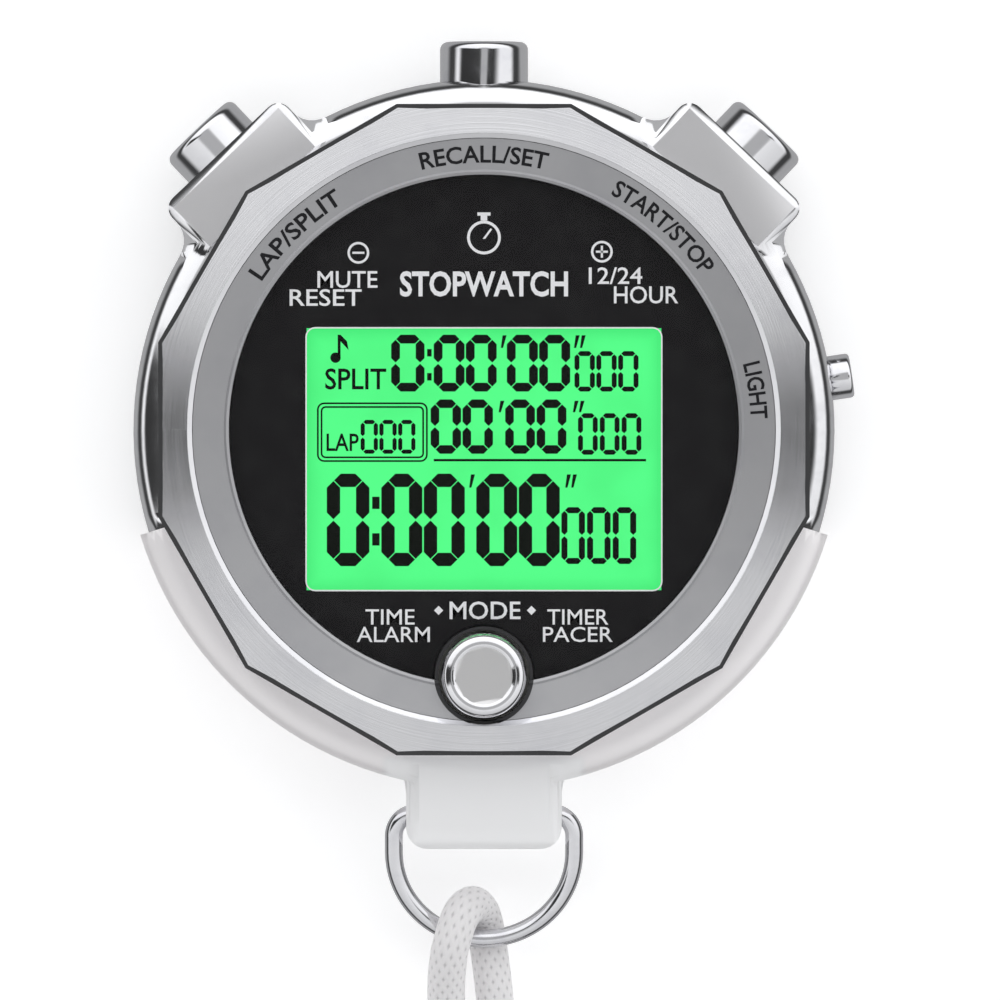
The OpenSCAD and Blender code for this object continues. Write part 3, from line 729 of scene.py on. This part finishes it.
def circleLine(bm, x, y, radius, line, foot, height, sides=32):
    turn = 2 * math.pi / sides
    band(bm, [[(x + r * math.cos(turn * k), y + r * math.sin(turn * k)) for k in range(sides)]
              for r in (radius, radius - line)], foot, height)


def finishPlates(bm, name):
    bmesh.ops.recalc_face_normals(bm, faces=bm.faces)
    bmesh.ops.scale(bm, verts=bm.verts, vec=(mm, mm, mm))
    return meshFrom(bm, name)


def makeSegments():
    bm = bmesh.new()
    foot, ink = display["face"], display["ink"]
    for x, y, wide, high, pitch, count, thick in digitRows:
        for i in range(count):
            zeroDigit(bm, x + pitch * i, y + display["middle"], wide, high, thick)
    for x, y, half in colonDots:
        spot = onDisplay(x, y)
        wide = half * 0.6
        bar(bm, spot.x - wide, spot.y - half, spot.x + wide, spot.y + half, foot, ink)
    for x, y, high, count in primeTicks:
        for i in range(count):
            spot = onDisplay(x + 0.55 * i, y)
            plate(bm, [(spot.x, spot.y), (spot.x + 0.2, spot.y), (spot.x + 0.52, spot.y + high),
                       (spot.x + 0.16, spot.y + high)], foot, ink)
    for inset in (0, lapBox["space"]):
        low = onDisplay(lapBox["low"][0] + inset, lapBox["low"][1] + inset)
        high = onDisplay(lapBox["high"][0] - inset, lapBox["high"][1] - inset)
        frameLine(bm, low, high, lapBox["round"] - inset * 0.6, lapBox["line"], foot, ink)
    low, high = onDisplay(*underline["low"]), onDisplay(*underline["high"])
    bar(bm, low.x, low.y, high.x, high.y, foot, ink)
    for words, x, y, wide, tall in displayWords:
        addWords(bm, words, onDisplay(x, y), wide, tall, foot, ink, 0.012)
    note = onDisplay(*musicNote["head"])
    disc(bm, note.x, note.y, musicNote["radius"], foot, ink, 16)
    for part in ("stem", "tail"):
        plate(bm, [(note.x + x, note.y + y) for x, y in musicNote[part]], foot, ink)
    return finishPlates(bm, "displaySegments")


# White printing: words, x, y, width, capital height, weight
dialWords = [
    ("MUTE", -12.5, 13.75, 5.5, 1.55, 0.008), ("RESET", -14.5, 12.1, 6.6, 1.55, 0.008),
    ("12/24", 12.05, 14.1, 4.9, 1.55, 0.008), ("HOUR", 14.85, 12.35, 5.9, 1.6, 0.008),
    ("STOPWATCH", 0, 13.35, 15.4, 2.35, 0.025), ("TIME", -8.6, -17.15, 4.5, 1.4, 0.004),
    ("ALARM", -8.3, -18.75, 6.7, 1.4, 0.004), ("MODE", 0.1, -16.55, 6.5, 1.65, 0.01),
    ("TIMER", 8.6, -17.15, 5.6, 1.4, 0.004), ("PACER", 8.6, -18.75, 6.4, 1.4, 0.004)]
printing = {"thick": 0.02, "border": (16.35, 12.1), "borderRound": 0.9, "borderLine": 0.13}
signs = {"minus": (-11.5, 16.2), "plus": (10.8, 16.3), "radius": 1.0, "line": 0.22,
         "stroke": (0.55, 0.1), "diamondX": (-4.15, 4.35), "diamondY": -16.55, "diamond": 0.42}
pictogram = {"x": 0, "y": 17.6, "radius": 1.55, "line": 0.26, "neck": (0.3, 0, 0.45),
             "crown": (0.6, 0.45, 0.75),
             "hand": [(-0.12, -0.12), (0.12, -0.12), (0.75, 0.75), (0.6, 0.85)]}


def makePrinting():
    bm = bmesh.new()
    foot, thick = dialFace, printing["thick"]
    for words, x, y, wide, tall, heavy in dialWords:
        addWords(bm, words, (x, y), wide, tall, foot, thick, heavy)
    long, slim = signs["stroke"]
    for x, y in (signs["minus"], signs["plus"]):
        circleLine(bm, x, y, signs["radius"], signs["line"], foot, thick)
        bar(bm, x - long, y - slim, x + long, y + slim, foot, thick)
    x, y = signs["plus"]
    bar(bm, x - slim, y - long, x + slim, y + long, foot, thick)
    y, half = signs["diamondY"], signs["diamond"]
    for x in signs["diamondX"]:
        plate(bm, [(x - half, y), (x, y - half), (x + half, y), (x, y + half)], foot, thick)
    x, y, r = pictogram["x"], pictogram["y"], pictogram["radius"]
    circleLine(bm, x, y, r, pictogram["line"], foot, thick)
    for half, low, high in (pictogram["neck"], pictogram["crown"]):
        bar(bm, x - half, y + r + low, x + half, y + r + high, foot, thick)
    plate(bm, [(x + dx, y + dy) for dx, dy in pictogram["hand"]], foot, thick)
    wide, tall = printing["border"]
    frameLine(bm, (-wide, display["middle"] - tall), (wide, display["middle"] + tall),
              printing["borderRound"], printing["borderLine"], foot, thick)
    return finishPlates(bm, "dialPrinting")


# Function names round the grey ring: words, angle, half the angle they fill
ringWords = [("RECALL/SET", 90, 13.4), ("LAP/SPLIT", 134, 12.2), ("START/STOP", 48.5, 13.2),
             ("LIGHT", 8.2, 5.9)]
ringSlope = {"inner": 23.8, "outer": 26.65, "low": 16.5, "high": 17.0, "middle": 25.2, "cap": 1.6,
             "thick": 0.02}


def makeRingWords():
    bm = bmesh.new()
    for words, angle, half in ringWords:
        def around(x, y, z, angle=angle):
            r = ringSlope["middle"] + y
            a = math.radians(angle) - x / ringSlope["middle"]
            share = (r - ringSlope["inner"]) / (ringSlope["outer"] - ringSlope["inner"])
            lift = ringSlope["low"] + share * (ringSlope["high"] - ringSlope["low"])
            return r * math.cos(a), r * math.sin(a), lift + z
        wide = 2 * math.radians(half) * ringSlope["middle"]
        addWords(bm, words, (0, 0), wide, ringSlope["cap"], 0, ringSlope["thick"], 0.018, around)
    return finishPlates(bm, "ringWords")


# The lens is seen from its front face, so its back face is lifted clear of the dial
def makeLens():
    lift = {"foot": 15.0, "clear": 0.06}
    piece = refine("lensDisc", "lens", "case", lensMaterial())
    for v in piece.data.vertices:
        if v.co.z < (lift["foot"] + 0.01) * mm:
            v.co.z = (lift["foot"] + lift["clear"]) * mm


makeLens()
keepMesh("displaySegments", makeSegments(), "case", segmentInk)
keepMesh("dialPrinting", makePrinting(), "case", whiteInk)
keepMesh("ringWords", makeRingWords(), "case", darkInk)
print("display and printing made")


# ---- the CAD pieces that stay ----

# Plain stock in its own finish: two tones, a grain size and a gloss
def stockMaterial(name, base, other, metal, rough, grain, depth):
    material, p = startPaint(name)
    x, y, z = p.place()
    fine = p.noise(p.join(x * grain, y * grain, z * grain), 1.0, 4.0, 0.6)
    cloud = p.noise(p.join(x * 0.25, y * 0.25, z * 0.25), 1.0, 3.0)
    p.surface({"Base Color": p.blend(base, other, p.fade(cloud, 0.35, 0.7)), "Metallic": metal,
               "Roughness": fine * 0.12 + rough, "Normal": p.bump(fine, depth * mm)})
    return material


stock = {
    "light_guide": (colour(0.82, 0.90, 0.84), colour(0.72, 0.84, 0.76), 0, 0.25, 2, 0.002),
    "zebra_rubber": (colour(0.45, 0.16, 0.20), colour(0.38, 0.13, 0.17), 0, 0.6, 6, 0.006),
    "frame_plastic": (colour(0.75, 0.75, 0.72), colour(0.66, 0.66, 0.63), 0, 0.45, 5, 0.006),
    "screw_steel": (colour(0.62, 0.62, 0.64), colour(0.50, 0.50, 0.52), 1, 0.22, 6, 0.004),
    "epoxy_black": (colour(0.012, 0.012, 0.013), colour(0.03, 0.03, 0.03), 0, 0.25, 3, 0.01),
    "cell_steel": (colour(0.68, 0.68, 0.70), colour(0.58, 0.58, 0.60), 1, 0.20, 4, 0.004),
    "smd_body": (colour(0.30, 0.20, 0.12), colour(0.42, 0.34, 0.26), 0, 0.4, 8, 0.004),
    "contact_brass": (colour(0.75, 0.52, 0.20), colour(0.62, 0.42, 0.16), 1, 0.25, 5, 0.004),
    "spring_steel": (colour(0.60, 0.60, 0.62), colour(0.46, 0.46, 0.48), 1, 0.22, 6, 0.003),
    "gasket_rubber": (colour(0.014, 0.014, 0.014), colour(0.03, 0.03, 0.03), 0, 0.65, 8, 0.01),
    "ferrule_metal": (colour(0.78, 0.78, 0.80), colour(0.66, 0.66, 0.68), 1, 0.16, 3, 0.003),
    "tie_fabric": (colour(0.02, 0.02, 0.022), colour(0.045, 0.045, 0.05), 0, 0.7, 9, 0.02),
}


# Green board with darker tracks under the lacquer
def boardMaterial():
    material, p = startPaint("boardGreen")
    x, y, z = p.place()
    wave = p.calc("SINE", x * 2.6 + p.noise(p.join(x * 0.1, y * 0.5)) * 6)
    track = p.fade(p.calc("ABSOLUTE", wave), 0.2, 0.35)
    p.surface({"Base Color": p.blend(colour(0.02, 0.16, 0.06), colour(0.012, 0.09, 0.035), track),
               "Roughness": p.noise(p.join(x * 5, y * 5)) * 0.1 + 0.25,
               "Normal": p.bump(track, 0.03 * mm)})
    return material


finishes = {key: stockMaterial(key + "_finish", *values) for key, values in stock.items()}
finishes.update(dial_black=dialMaterial(), display_green=paintedGlowMaterial(),
                board_green=boardMaterial())
for name, node in nodes.items():
    if not node.hide_render and name not in painted:
        for place in node.material_slots:
            node.visible_glossy = place.material.name != "display_green"  # no green in the chrome
            place.material = finishes[place.material.name]
print("CAD pieces painted")
